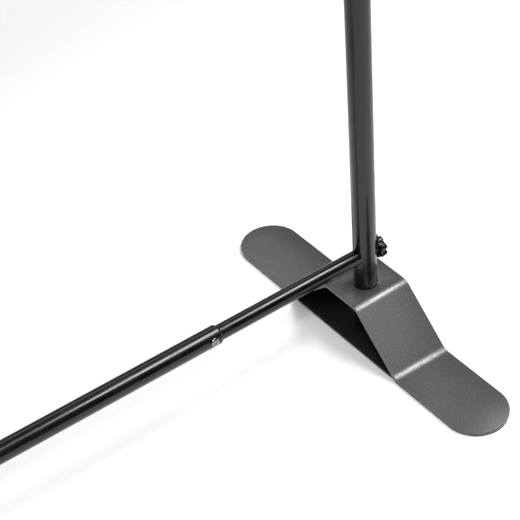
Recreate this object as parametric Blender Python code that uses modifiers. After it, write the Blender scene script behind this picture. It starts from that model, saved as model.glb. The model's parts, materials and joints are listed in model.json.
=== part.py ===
"""Two-column music stand: folded steel feet, telescopic columns, crossbar, rail and a wide desk.

Metres, +Z up. +X runs along the crossbar to the right-hand column, the reader stands on the -Y side,
and the origin is on the floor under the middle of the stand.
"""

from math import atan2, cos, pi, radians, sin, tan

import bmesh
import bpy
from mathutils import Matrix, Vector

# --- general -----------------------------------------------------------------------------------
GAP = 0.0003  # left between pieces that touch
ROUND_STEPS = 24  # facets of a tube
SMALL_STEPS = 12  # facets of a screw
MERGE = 0.00001  # points closer than this are one
OVERCUT = 0.004  # how far a cutter runs past the wall that it cuts
SHARP = radians(40.0)  # edges of a round piece sharper than this stay sharp in its shading

# --- overall layout ----------------------------------------------------------------------------
COLUMN_SPACING = 0.841  # between the two column axes
CROSSBAR_ABOVE_FLANGE = 0.115  # crossbar axis above the top of the foot's flange
RAIL_HEIGHT = 0.980  # axis that the desk tilts about
DESK_TILT = radians(25.0)  # leaning back from upright

# --- feet --------------------------------------------------------------------------------------
FOOT_LENGTH = 0.496
FOOT_WIDTH = 0.0834
PLATE = 0.0045  # folded plate of the foot
PLATEAU_LENGTH = 0.0597  # between the two upper folds, on the plate's middle surface
SLOPE_RUN = 0.0751
SLOPE_RISE = 0.0673
FOOT_FOLD_RADIUS = 0.0100  # of the plate's middle surface
BRIDGE_THICKNESS = 0.0025  # plate that closes the foot's hollow, level with the flange tops
PAD_THICKNESS = 0.0015
PAD_INSET = 0.0015  # pad edge inside the flange edge
COLUMN_HOLE_CLEARANCE = 0.0006

# --- columns -----------------------------------------------------------------------------------
COLUMN_RADIUS = 0.0150
COLUMN_WALL = 0.0015
COLUMN_TOP = 0.620
COLUMN_PLUG_LENGTH = 0.025
RISER_PLAY = 0.0010  # between the riser and the column's bore, which the glide takes up
RISER_WALL = 0.0015
RISER_BOTTOM = 0.300  # lower end at rest, inside the column
GLIDE_CLEARANCE = 0.0003
GLIDE_PLUG = 0.018  # glide inside the riser
GLIDE_LENGTH = 0.010  # glide below the riser

# --- crossbar and rail -------------------------------------------------------------------------
ROD_RADIUS = 0.0100
ROD_WALL = 0.0015
SLEEVE_WALL = 0.0022
ROD_CLEARANCE = 0.0003  # rod in its sleeve, and rod in its clamp
SLEEVE_END = 0.226  # from the column axis to the end of the sleeve
ROD_OVERLAP = 0.110  # rod inside the sleeve at rest
INSERT_LENGTH = 0.020
SLEEVE_SCREW_FROM_END = 0.013
SLEEVE_SCREW_LIFT = radians(12.0)  # above straight ahead
SLEEVE_SCREW_RADIUS = 0.0025
SLEEVE_SCREW_HEAD_RADIUS = 0.0048
SLEEVE_SCREW_HEAD = 0.0026
RAIL_BEYOND_CLAMP = 0.004
RAIL_CAP_LENGTH = 0.004
RAIL_CAP_PLUG = 0.012  # cap inside the rod

# --- screws and knobs --------------------------------------------------------------------------
BOLT_RADIUS = 0.0040
STUD_RADIUS = 0.0030
SCREW_CLEARANCE = 0.0003
BASE_SCREW_HEAD_RADIUS = 0.0085
BASE_SCREW_HEAD = 0.0018
CROSSBAR_KNOB_RADIUS = 0.0153
CLAMP_KNOB_RADIUS = 0.0150
KNOB_THICKNESS = 0.0090
KNOB_LOBES = 8
KNOB_CORNER = 0.16  # rounding of a knob's rim, as a share of its radius
KNOB_HUB = 0.55  # flat middle of a knob, as a share of its radius
KNOB_FLUTE = 0.24  # radius of a flute between lobes, as a share of the knob's radius
KNOB_FLUTE_CENTRE = 1.08  # distance of a flute's centre, as a share of the knob's radius
STUD_SEAT = 0.7  # stud inside its knob, as a share of the knob's thickness
SPACER_RADIUS = 0.0080
SPACER_LENGTH = 0.0017

# --- height collar and head clamp --------------------------------------------------------------
COLLAR_WALL = 0.0042
COLLAR_CHAMFER = 0.003
COLLAR_BELOW_TOP = 0.030
COLLAR_ABOVE_TOP = 0.022
BOSS_RADIUS = 0.0075
COLLAR_BOSS_LENGTH = 0.0075  # boss beyond the collar
HEAD_BOSS_LENGTH = 0.0105  # boss beyond the barrel
HEAD_WALL = 0.0062
STEM_WALL = 0.0029
HEAD_LENGTH = 0.036
SOCKET_DEPTH = 0.030
HEAD_WEB = 0.0030  # between the socket and the rail bore

# --- desk --------------------------------------------------------------------------------------
DESK_WIDTH = 0.700
DESK_ABOVE_RAIL = 0.205
DESK_BELOW_RAIL = 0.125
SHEET = 0.0015
DESK_STANDOFF = 0.0105  # from the rail's sleeve to the channel
DESK_FOLD_RADIUS = 0.0040
TOP_HEM = 0.012
LEDGE_DEPTH = 0.058
LIP_HEIGHT = 0.015
DESK_CORNER = 0.020
LINER_THICKNESS = 0.0012
LINER_MARGIN = 0.007
CHANNEL_INSET = 0.100  # channel's end inside the desk's edge
CHANNEL_HEIGHT = 0.040
CHANNEL_DEPTH = 0.0110
BRACKET_FROM_END = 0.0745  # from the end of the rail's sleeve
BRACKET_WIDTH = 0.030
BRACKET_WALL = 0.0042
BRACKET_SCREW_SPACING = 0.024
BRACKET_SCREW_RADIUS = 0.0020
BRACKET_SCREW_HEAD = 0.0016
BRACKET_SCREW_GRIP = 0.0080

# --- heights and places that follow ------------------------------------------------------------
FLANGE_MIDDLE = PAD_THICKNESS + GAP + PLATE / 2
FLANGE_TOP = FLANGE_MIDDLE + PLATE / 2
BRIDGE_BOTTOM = FLANGE_TOP - BRIDGE_THICKNESS
SLOPE_ANGLE = atan2(SLOPE_RISE, SLOPE_RUN)
SLOPE_FOOT = PLATEAU_LENGTH / 2 + SLOPE_RUN  # where the slope's and flange's middle surfaces meet
BRIDGE_HALF = SLOPE_FOOT - PLATE / 2 / tan(SLOPE_ANGLE) - PLATE / 2 / sin(SLOPE_ANGLE) - GAP
CROSSBAR_HEIGHT = FLANGE_TOP + CROSSBAR_ABOVE_FLANGE
COLUMN_BOTTOM = FLANGE_TOP + GAP
COLUMN_X = COLUMN_SPACING / 2
RISER_RADIUS = COLUMN_RADIUS - COLUMN_WALL - RISER_PLAY
SLEEVE_RADIUS = ROD_RADIUS + ROD_CLEARANCE + SLEEVE_WALL
SLEEVE_HALF = COLUMN_X - SLEEVE_END
COLLAR_RADIUS = COLUMN_RADIUS + GAP + COLLAR_WALL
COLLAR_REACH = COLLAR_RADIUS + COLLAR_BOSS_LENGTH  # from the column's axis to the knob
HEAD_RADIUS = ROD_RADIUS + ROD_CLEARANCE + HEAD_WALL
HEAD_REACH = HEAD_RADIUS + HEAD_BOSS_LENGTH  # from the rail's axis to the knob
STEM_RADIUS = RISER_RADIUS + GAP + STEM_WALL
BRACKET_RADIUS = SLEEVE_RADIUS + GAP + BRACKET_WALL
DESK_BACK = SLEEVE_RADIUS + DESK_STANDOFF + CHANNEL_DEPTH  # rail axis to the back of the sheet
RISER_TOP = RAIL_HEIGHT - ROD_RADIUS - ROD_CLEARANCE - HEAD_WEB - GAP
DESK_MIDDLE = -(DESK_BACK + SHEET / 2)  # the sheet's middle surface, in the desk's own frame
OUTWARD = {"left": Vector((-1, 0, 0)), "right": Vector((1, 0, 0))}
BACKWARD = Vector((0, 1, 0))
UP = Vector((0, 0, 1))


# --- scene helpers -----------------------------------------------------------------------------
def new_collection(name):
    """Add a collection to the scene."""
    collection = bpy.data.collections.new(name)
    bpy.context.scene.collection.children.link(collection)
    return collection


def finish_material(name, colour, roughness, metallic):
    """Make a Principled material."""
    material = bpy.data.materials.new(name)
    material.use_nodes = True
    shader = material.node_tree.nodes["Principled BSDF"]
    shader.inputs["Base Color"].default_value = (*colour, 1.0)
    shader.inputs["Roughness"].default_value = roughness
    shader.inputs["Metallic"].default_value = metallic
    return material


def add_object(name, mesh, material=None, parent=None):
    """Link a mesh as a piece of the stand, or as a hidden cutter when it has no material."""
    piece = bpy.data.objects.new(name, mesh)
    if material is None:
        CUTTERS.objects.link(piece)
        piece.hide_render = True
        piece.display_type = "WIRE"
    else:
        STAND.objects.link(piece)
        mesh.materials.append(material)
    piece.parent = parent
    return piece


def aim(piece, place, direction):
    """Stand a piece that was made along +Z at a place, along a direction."""
    piece.location = place
    piece.rotation_euler = UP.rotation_difference(direction).to_euler()
    return piece


def boolean(piece, cutter, operation="DIFFERENCE"):
    """Cut, join or intersect a piece with another object."""
    modifier = piece.modifiers.new(operation.title(), "BOOLEAN")
    modifier.operation = operation
    modifier.solver = "EXACT"
    modifier.object = cutter


def weld(piece):
    """Merge the doubled points that a run of cuts can leave."""
    modifier = piece.modifiers.new("Weld", "WELD")
    modifier.merge_threshold = MERGE


def turned(name, profile, material=None, closed=False, steps=ROUND_STEPS, parent=None):
    """Turn a profile of (radius, height) points about +Z. It runs down its outer side."""
    mesh = bpy.data.meshes.new(name)
    edges = [(k, k + 1) for k in range(len(profile) - 1)]
    if closed:
        edges.append((len(profile) - 1, 0))
    mesh.from_pydata([(radius, 0, height) for radius, height in profile], edges, [])
    piece = add_object(name, mesh, material, parent)
    screw = piece.modifiers.new("Screw", "SCREW")
    screw.steps = steps
    screw.render_steps = steps
    screw.use_merge_vertices = True
    screw.merge_threshold = MERGE
    return piece


def tube(name, radius, bore, length, place, direction, material, parent=None):
    """A round tube from a place, along a direction."""
    profile = [(radius, length), (radius, 0), (bore, 0), (bore, length)]
    return aim(turned(name, profile, material, closed=True, parent=parent), place, direction)


def cylinder_mesh(name, radius, length, steps):
    """A solid cylinder from the origin along +Z."""
    mesh = bpy.data.meshes.new(name)
    shape = bmesh.new()
    bmesh.ops.create_cone(shape, cap_ends=True, segments=steps, radius1=radius, radius2=radius, depth=length)
    bmesh.ops.translate(shape, vec=(0, 0, length / 2), verts=shape.verts)
    shape.to_mesh(mesh)
    shape.free()
    mesh.shade_smooth()
    mesh.set_sharp_from_angle(angle=SHARP)
    return mesh


def bar(name, radius, length, place, direction, material=None, steps=ROUND_STEPS, parent=None):
    """A round solid bar from a place, along a direction."""
    mesh = cylinder_mesh(name, radius, length, steps)
    return aim(add_object(name, mesh, material, parent), place, direction)


def block(name, size, place, material=None, parent=None):
    """A rectangular block about a place."""
    mesh = bpy.data.meshes.new(name)
    shape = bmesh.new()
    bmesh.ops.create_cube(shape, size=1.0)
    bmesh.ops.scale(shape, vec=size, verts=shape.verts)
    shape.to_mesh(mesh)
    shape.free()
    piece = add_object(name, mesh, material, parent)
    piece.location = place
    return piece


def flat_outline(name, outlines, thickness, material, parent=None):
    """A flat plate in its own XY plane, from closed outlines of (x, y) points."""
    curve = bpy.data.curves.new(name, "CURVE")
    curve.dimensions = "2D"
    curve.fill_mode = "BOTH"
    curve.extrude = thickness / 2
    for outline in outlines:
        spline = curve.splines.new("POLY")
        spline.points.add(len(outline) - 1)
        for point, (x, y) in zip(spline.points, outline):
            point.co = (x, y, 0, 1)
        spline.use_cyclic_u = True
    plate = bpy.data.objects.new(name, curve)
    (STAND if material else CUTTERS).objects.link(plate)
    if material:
        curve.materials.append(material)
    plate.parent = parent
    return plate


def as_mesh(plate, material=None):
    """Turn a flat outline into a welded mesh, so that a Boolean can use it."""
    bpy.context.view_layer.update()
    graph = bpy.context.evaluated_depsgraph_get()
    mesh = bpy.data.meshes.new_from_object(plate.evaluated_get(graph))
    shape = bmesh.new()
    shape.from_mesh(mesh)
    bmesh.ops.remove_doubles(shape, verts=shape.verts, dist=MERGE)
    shape.to_mesh(mesh)
    shape.free()
    name, parent, basis = plate.name, plate.parent, plate.matrix_basis.copy()
    bpy.data.objects.remove(plate)
    mesh.materials.clear()
    piece = add_object(name, mesh, material, parent)
    piece.matrix_basis = basis
    return piece


def arc_points(centre, radius, start, end, steps):
    """Points along an arc, from one angle to another."""
    angles = [start + (end - start) * k / steps for k in range(steps + 1)]
    return [(centre[0] + radius * cos(a), centre[1] + radius * sin(a)) for a in angles]


def stadium(length, width, steps=16):
    """A closed outline with round ends, long along Y."""
    reach = (length - width) / 2
    back = arc_points((0, reach), width / 2, 0, pi, steps)
    front = arc_points((0, -reach), width / 2, pi, 2 * pi, steps)
    return back + front


def tongue(start, end, width, steps=16):
    """A closed outline along +Y with a square start and a round end."""
    half = width / 2
    return [(-half, start), (half, start)] + arc_points((0, end - half), half, 0, pi, steps)


def rounded_fold(corners, radius, steps=5):
    """A path through corners, each inner corner rounded to a fold radius."""
    path = [corners[0]]
    for before, corner, after in zip(corners, corners[1:], corners[2:]):
        come = (Vector(corner) - Vector(before)).normalized()
        leave = (Vector(after) - Vector(corner)).normalized()
        turn = come.angle_signed(leave)
        side = Vector((come.y, -come.x)) if turn > 0 else Vector((-come.y, come.x))
        centre = Vector(corner) - come * radius * tan(abs(turn) / 2) + side * radius
        start = atan2(-side.y, -side.x)
        path += arc_points(centre, radius, start, start - turn, steps)
    path.append(corners[-1])
    return path


def folded_sheet(name, path, width, thickness, material, parent=None):
    """A sheet folded along a path of (y, z) points on its middle surface, wide along X."""
    mesh = bpy.data.meshes.new(name)
    shape = bmesh.new()
    points = [shape.verts.new((-width / 2, y, z)) for y, z in path]
    edges = [shape.edges.new(pair) for pair in zip(points, points[1:])]
    swept = bmesh.ops.extrude_edge_only(shape, edges=edges)["geom"]
    far_edge = [g for g in swept if isinstance(g, bmesh.types.BMVert)]
    bmesh.ops.translate(shape, vec=(width, 0, 0), verts=far_edge)
    shape.to_mesh(mesh)
    shape.free()
    sheet = add_object(name, mesh, material, parent)
    solidify = sheet.modifiers.new("Solidify", "SOLIDIFY")
    solidify.thickness = thickness
    solidify.offset = 0.0
    solidify.use_even_offset = True
    return sheet


# --- feet --------------------------------------------------------------------------------------
def foot_path():
    """The middle surface of the folded foot, from its front tip to its back tip."""
    top = FLANGE_MIDDLE + SLOPE_RISE
    half = PLATEAU_LENGTH / 2
    reach = FOOT_LENGTH / 2 + OVERCUT
    corners = [
        (-reach, FLANGE_MIDDLE),
        (-SLOPE_FOOT, FLANGE_MIDDLE),
        (-half, top),
        (half, top),
        (SLOPE_FOOT, FLANGE_MIDDLE),
        (reach, FLANGE_MIDDLE),
    ]
    return rounded_fold(corners, FOOT_FOLD_RADIUS)


def build_foot(side, x):
    """The folded plate, the bridge across its hollow, its pads, and the screw up into the column."""
    plate = folded_sheet(f"foot_plate_{side}", foot_path(), FOOT_WIDTH + 2 * OVERCUT, PLATE, GRAPHITE)
    plate.location.x = x
    height = FLANGE_TOP + SLOPE_RISE
    outline = flat_outline(f"foot_outline_{side}", [stadium(FOOT_LENGTH, FOOT_WIDTH)], height + OVERCUT, None)
    outline.location = (x, 0, height / 2)
    boolean(plate, as_mesh(outline), "INTERSECT")
    hole = bar(f"column_hole_{side}", COLUMN_RADIUS + COLUMN_HOLE_CLEARANCE, height, (x, 0, height / 2), UP)
    boolean(plate, hole)

    bridge = block(
        f"foot_bridge_{side}",
        (FOOT_WIDTH, 2 * BRIDGE_HALF, BRIDGE_THICKNESS),
        (x, 0, BRIDGE_BOTTOM + BRIDGE_THICKNESS / 2),
        BLACK_COAT,
    )
    screw_hole = bar(
        f"screw_hole_{side}", BOLT_RADIUS + SCREW_CLEARANCE, 2 * FLANGE_TOP, (x, 0, 0), UP, steps=SMALL_STEPS
    )
    boolean(bridge, screw_hole)

    for end, direction in (("front", -1), ("back", 1)):
        outline = tongue(SLOPE_FOOT, FOOT_LENGTH / 2 - PAD_INSET, FOOT_WIDTH - 2 * PAD_INSET)
        pad = flat_outline(f"foot_pad_{end}_{side}", [outline], PAD_THICKNESS, RUBBER)
        pad.location = (x, 0, PAD_THICKNESS / 2)
        pad.rotation_euler.z = 0 if direction > 0 else pi

    head_top = BRIDGE_BOTTOM - GAP
    shank_top = COLUMN_BOTTOM + COLUMN_PLUG_LENGTH - OVERCUT
    profile = [
        (0, shank_top),
        (BOLT_RADIUS, shank_top),
        (BOLT_RADIUS, head_top),
        (BASE_SCREW_HEAD_RADIUS, head_top),
        (BASE_SCREW_HEAD_RADIUS, head_top - BASE_SCREW_HEAD),
        (0, head_top - BASE_SCREW_HEAD),
    ]
    turned(f"base_screw_{side}", profile, ZINC, steps=SMALL_STEPS).location.x = x


# --- columns -----------------------------------------------------------------------------------
def build_column(side, x):
    """The lower tube with its threaded plug, and the riser that slides in it with its glide."""
    column_bore = COLUMN_RADIUS - COLUMN_WALL
    bolt_hole = BOLT_RADIUS + SCREW_CLEARANCE
    foot = (x, 0, COLUMN_BOTTOM)
    length = COLUMN_TOP - COLUMN_BOTTOM
    column = tube(f"column_{side}", COLUMN_RADIUS, column_bore, length, foot, UP, BLACK_GLOSS)
    reach = COLUMN_RADIUS + OVERCUT
    drill_start = (x - reach, 0, CROSSBAR_HEIGHT)
    drill = bar(
        f"crossbar_drill_{side}", bolt_hole, 2 * reach, drill_start, OUTWARD["right"], steps=SMALL_STEPS
    )
    boolean(column, drill)
    tube(f"column_plug_{side}", column_bore - GAP, bolt_hole, COLUMN_PLUG_LENGTH, foot, UP, ZINC)

    riser_bore = RISER_RADIUS - RISER_WALL
    riser_length = RISER_TOP - RISER_BOTTOM
    tube(f"riser_{side}", RISER_RADIUS, riser_bore, riser_length, (x, 0, RISER_BOTTOM), UP, BLACK_GLOSS)
    glide_radius = column_bore - GLIDE_CLEARANCE
    glide_bore = riser_bore - 2 * RISER_WALL
    plug_top = RISER_BOTTOM + GLIDE_PLUG
    shoulder = RISER_BOTTOM - GAP
    bottom = shoulder - GLIDE_LENGTH
    profile = [
        (riser_bore - GAP, plug_top),
        (riser_bore - GAP, shoulder),
        (glide_radius, shoulder),
        (glide_radius, bottom),
        (glide_bore, bottom),
        (glide_bore, plug_top),
    ]
    turned(f"riser_glide_{side}", profile, PLASTIC, closed=True).location.x = x


# --- knobs -------------------------------------------------------------------------------------
def star_knob(name, radius, place, direction, stud_radius, stud_length, stud_name):
    """A moulded star knob whose hub faces the clamp, and the steel stud fixed in it."""
    inside = stud_radius + GAP
    depth = KNOB_THICKNESS
    seat = depth * STUD_SEAT
    corner = radius * KNOB_CORNER
    profile = [
        (0, depth),
        (radius * KNOB_HUB, depth),
        (radius - corner, depth - corner / 2),
        (radius, depth - corner),
        (radius, corner),
        (radius - corner, corner / 2),
        (radius * KNOB_HUB, 0),
        (inside, 0),
        (inside, seat),
        (0, seat),
    ]
    knob = aim(turned(name, profile, PLASTIC, steps=3 * KNOB_LOBES), place, direction)
    shape = bmesh.new()
    flute = radius * KNOB_FLUTE
    for k in range(KNOB_LOBES):
        angle = 2 * pi * (k + 0.5) / KNOB_LOBES
        tool = bmesh.ops.create_cone(
            shape, cap_ends=True, segments=SMALL_STEPS, radius1=flute, radius2=flute, depth=2 * depth
        )
        centre = Vector((cos(angle), sin(angle), 0)) * radius * KNOB_FLUTE_CENTRE
        bmesh.ops.translate(shape, vec=centre + UP * depth / 2, verts=tool["verts"])
    mesh = bpy.data.meshes.new(name + "_flutes")
    shape.to_mesh(mesh)
    shape.free()
    boolean(knob, aim(add_object(name + "_flutes", mesh), place, direction))
    start = place - direction * stud_length
    length = stud_length + seat - GAP
    bar(stud_name, stud_radius, length, start, direction, ZINC, steps=SMALL_STEPS)


# --- crossbar ----------------------------------------------------------------------------------
def build_crossbar_end(side, x):
    """The rod that is screwed to a column, its threaded insert, and the knob across the column."""
    outward = OUTWARD[side]
    length = SLEEVE_END + ROD_OVERLAP
    axis = Vector((x, 0, CROSSBAR_HEIGHT))
    rod_bore = ROD_RADIUS - ROD_WALL
    start = axis - outward * length
    rod = tube(f"crossbar_rod_{side}", ROD_RADIUS, rod_bore, length, start, outward, BLACK_GLOSS)
    saddle = bar(f"rod_saddle_{side}", COLUMN_RADIUS + GAP, 4 * ROD_RADIUS, axis - UP * 2 * ROD_RADIUS, UP)
    boolean(rod, saddle)

    insert_start = axis - outward * (COLUMN_RADIUS + GAP + INSERT_LENGTH)
    bore = BOLT_RADIUS + SCREW_CLEARANCE
    tube(f"rod_insert_{side}", rod_bore - GAP, bore, INSERT_LENGTH, insert_start, outward, ZINC)

    spacer_length = SPACER_LENGTH + COLUMN_RADIUS
    spacer = tube(f"knob_spacer_{side}", SPACER_RADIUS, bore, spacer_length, axis, outward, PLASTIC)
    boolean(spacer, saddle)

    knob_place = axis + outward * (spacer_length + GAP)
    stud_length = spacer_length + GAP + COLUMN_RADIUS + INSERT_LENGTH - OVERCUT
    star_knob(
        f"crossbar_knob_{side}",
        CROSSBAR_KNOB_RADIUS,
        knob_place,
        outward,
        BOLT_RADIUS,
        stud_length,
        f"crossbar_stud_{side}",
    )


def build_sleeve(name, screw_name, height, parent=None):
    """A sleeve over two rods, with a pan-head screw near each end that grips its rod."""
    left, right = OUTWARD["left"], OUTWARD["right"]
    aside = Vector((0, -cos(SLEEVE_SCREW_LIFT), sin(SLEEVE_SCREW_LIFT)))
    bore = ROD_RADIUS + ROD_CLEARANCE
    start = left * SLEEVE_HALF + UP * height
    sleeve = tube(name, SLEEVE_RADIUS, bore, 2 * SLEEVE_HALF, start, right, BLACK_GLOSS, parent)
    wall = SLEEVE_RADIUS - bore
    for side, outward in OUTWARD.items():
        axis = outward * (SLEEVE_HALF - SLEEVE_SCREW_FROM_END) + UP * height
        seat = axis + aside * (SLEEVE_RADIUS + GAP)
        drill = bar(
            f"{screw_name}_drill_{side}",
            SLEEVE_SCREW_RADIUS + SCREW_CLEARANCE,
            wall + 2 * OVERCUT,
            axis + aside * (bore - OVERCUT),
            aside,
            steps=SMALL_STEPS,
            parent=parent,
        )
        boolean(sleeve, drill)
        head = SLEEVE_SCREW_HEAD
        profile = [
            (0, head),
            (SLEEVE_SCREW_HEAD_RADIUS * 0.7, head),
            (SLEEVE_SCREW_HEAD_RADIUS, head * 0.5),
            (SLEEVE_SCREW_HEAD_RADIUS, 0),
            (SLEEVE_SCREW_RADIUS, 0),
            (SLEEVE_SCREW_RADIUS, -wall),
            (0, -wall),
        ]
        aim(turned(f"{screw_name}_{side}", profile, ZINC, steps=SMALL_STEPS, parent=parent), seat, aside)


# --- clamps ------------------------------------------------------------------------------------
def build_height_collar(side, x):
    """The moulded collar on top of a column, whose knob grips the riser."""
    outward = OUTWARD[side]
    bottom = COLUMN_TOP - COLLAR_BELOW_TOP
    shoulder = COLUMN_TOP + GAP
    top = COLUMN_TOP + COLLAR_ABOVE_TOP
    column_bore = COLUMN_RADIUS + GAP
    riser_bore = RISER_RADIUS + GAP
    profile = [
        (COLLAR_RADIUS - COLLAR_CHAMFER, top),
        (COLLAR_RADIUS, top - COLLAR_CHAMFER),
        (COLLAR_RADIUS, bottom + COLLAR_CHAMFER),
        (COLLAR_RADIUS - COLLAR_CHAMFER, bottom),
        (column_bore, bottom),
        (column_bore, shoulder),
        (riser_bore, shoulder),
        (riser_bore, top),
    ]
    collar = turned(f"height_collar_{side}", profile, PLASTIC, closed=True)
    collar.location.x = x
    axis = Vector((x, 0, (shoulder + top) / 2))
    wall_middle = (COLLAR_RADIUS + riser_bore) / 2
    boss_length = COLLAR_REACH - wall_middle
    boss = bar(f"collar_boss_{side}", BOSS_RADIUS, boss_length, axis + outward * wall_middle, outward)
    drill = bar(
        f"collar_drill_{side}",
        STUD_RADIUS + SCREW_CLEARANCE,
        COLLAR_REACH,
        axis + outward * OVERCUT,
        outward,
        steps=SMALL_STEPS,
    )
    boolean(collar, boss, "UNION")
    boolean(collar, drill)
    star_knob(
        f"height_knob_{side}",
        CLAMP_KNOB_RADIUS,
        axis + outward * (COLLAR_REACH + GAP),
        outward,
        STUD_RADIUS,
        COLLAR_REACH - RISER_RADIUS,
        f"height_stud_{side}",
    )


def build_head_clamp(side, x):
    """The cast clamp on top of a riser, which holds the rail rod, with a knob behind it."""
    outward = OUTWARD[side]
    axis = Vector((x, 0, RAIL_HEIGHT))
    socket_top = RISER_TOP + GAP
    socket_bottom = socket_top - SOCKET_DEPTH
    stem_length = socket_top + HEAD_WEB / 2 - socket_bottom
    head = bar(f"head_clamp_{side}", STEM_RADIUS, stem_length, (x, 0, socket_bottom), UP, BLACK_COAT)
    barrel = bar(f"head_barrel_{side}", HEAD_RADIUS, HEAD_LENGTH, axis - outward * HEAD_LENGTH / 2, outward)
    boss_length = HEAD_REACH - ROD_RADIUS
    boss = bar(f"head_boss_{side}", BOSS_RADIUS, boss_length, axis + BACKWARD * ROD_RADIUS, BACKWARD)
    socket = bar(
        f"head_socket_{side}",
        RISER_RADIUS + GAP,
        SOCKET_DEPTH + OVERCUT,
        (x, 0, socket_bottom - OVERCUT),
        UP,
    )
    bore_length = HEAD_LENGTH + 2 * OVERCUT
    bore_start = axis - outward * bore_length / 2
    bore = bar(f"head_bore_{side}", ROD_RADIUS + ROD_CLEARANCE, bore_length, bore_start, outward)
    drill = bar(
        f"head_drill_{side}",
        STUD_RADIUS + SCREW_CLEARANCE,
        HEAD_REACH,
        axis + BACKWARD * OVERCUT,
        BACKWARD,
        steps=SMALL_STEPS,
    )
    boolean(head, barrel, "UNION")
    boolean(head, boss, "UNION")
    boolean(head, socket)
    boolean(head, bore)
    boolean(head, drill)
    weld(head)
    star_knob(
        f"tilt_knob_{side}",
        CLAMP_KNOB_RADIUS,
        axis + BACKWARD * (HEAD_REACH + GAP),
        BACKWARD,
        STUD_RADIUS,
        HEAD_REACH - ROD_RADIUS - ROD_CLEARANCE,
        f"tilt_stud_{side}",
    )


# --- rail and desk -----------------------------------------------------------------------------
def build_rail_end(side, parent):
    """The rod that turns in a head clamp, and its end cap. They lie along the desk frame's X axis."""
    outward = OUTWARD[side]
    reach = COLUMN_X + HEAD_LENGTH / 2 + RAIL_BEYOND_CLAMP
    length = reach - SLEEVE_HALF + ROD_OVERLAP
    rod_bore = ROD_RADIUS - ROD_WALL
    start = outward * (reach - length)
    tube(f"rail_rod_{side}", ROD_RADIUS, rod_bore, length, start, outward, BLACK_GLOSS, parent)
    profile = [
        (0, RAIL_CAP_LENGTH),
        (ROD_RADIUS * 0.8, RAIL_CAP_LENGTH),
        (ROD_RADIUS, RAIL_CAP_LENGTH * 0.5),
        (ROD_RADIUS, 0),
        (rod_bore - GAP, 0),
        (rod_bore - GAP, -RAIL_CAP_PLUG),
        (0, -RAIL_CAP_PLUG),
    ]
    aim(turned(f"rail_cap_{side}", profile, PLASTIC, parent=parent), outward * (reach + GAP), outward)


def desk_path():
    """The middle surface of the folded desk sheet, from its top hem to the lip of its ledge."""
    top = DESK_ABOVE_RAIL - SHEET / 2
    bottom = -DESK_BELOW_RAIL + SHEET / 2
    front = DESK_MIDDLE - LEDGE_DEPTH
    corners = [
        (DESK_MIDDLE + TOP_HEM, top),
        (DESK_MIDDLE, top),
        (DESK_MIDDLE, bottom),
        (front, bottom),
        (front, bottom + LIP_HEIGHT),
    ]
    return rounded_fold(corners, DESK_FOLD_RADIUS)


def rounded_rectangle(width, low, high, radius):
    """A closed outline with four round corners."""
    half = width / 2 - radius
    low, high = low + radius, high - radius
    corners = (((half, high), 0), ((-half, high), 1), ((-half, low), 2), ((half, low), 3))
    outline = []
    for centre, quarter in corners:
        outline += arc_points(centre, radius, quarter * pi / 2, (quarter + 1) * pi / 2, 6)
    return outline


def build_desk(parent):
    """The folded desk with its liner, the channel behind it, and the brackets on the rail sleeve."""
    desk = folded_sheet("desk_panel", desk_path(), DESK_WIDTH + 2 * OVERCUT, SHEET, GRAPHITE, parent)
    below = -DESK_BELOW_RAIL - 2 * DESK_CORNER  # low enough to leave the lower corners square
    corners = rounded_rectangle(DESK_WIDTH, below, DESK_ABOVE_RAIL + GAP, DESK_CORNER)
    outline = flat_outline("desk_outline", [corners], 4 * LEDGE_DEPTH, None, parent)
    outline.rotation_euler.x = pi / 2
    boolean(desk, as_mesh(outline), "INTERSECT")

    liner_depth = LEDGE_DEPTH - 2 * LINER_MARGIN
    block(
        "ledge_liner",
        (DESK_WIDTH - 2 * LINER_MARGIN, liner_depth, LINER_THICKNESS),
        (0, DESK_MIDDLE - LEDGE_DEPTH / 2, -DESK_BELOW_RAIL + SHEET + GAP + LINER_THICKNESS / 2),
        RUBBER,
        parent,
    )

    leg = -DESK_BACK + GAP
    web = -DESK_BACK + CHANNEL_DEPTH - SHEET / 2
    half = CHANNEL_HEIGHT / 2
    corners = [(leg, half), (web, half), (web, -half), (leg, -half)]
    path = rounded_fold(corners, DESK_FOLD_RADIUS / 2)
    length = DESK_WIDTH - 2 * CHANNEL_INSET
    channel = folded_sheet("desk_channel", path, length, SHEET, GRAPHITE, parent)
    for side, outward in OUTWARD.items():
        build_bracket(side, outward * (SLEEVE_HALF - BRACKET_FROM_END), channel, parent)


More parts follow.
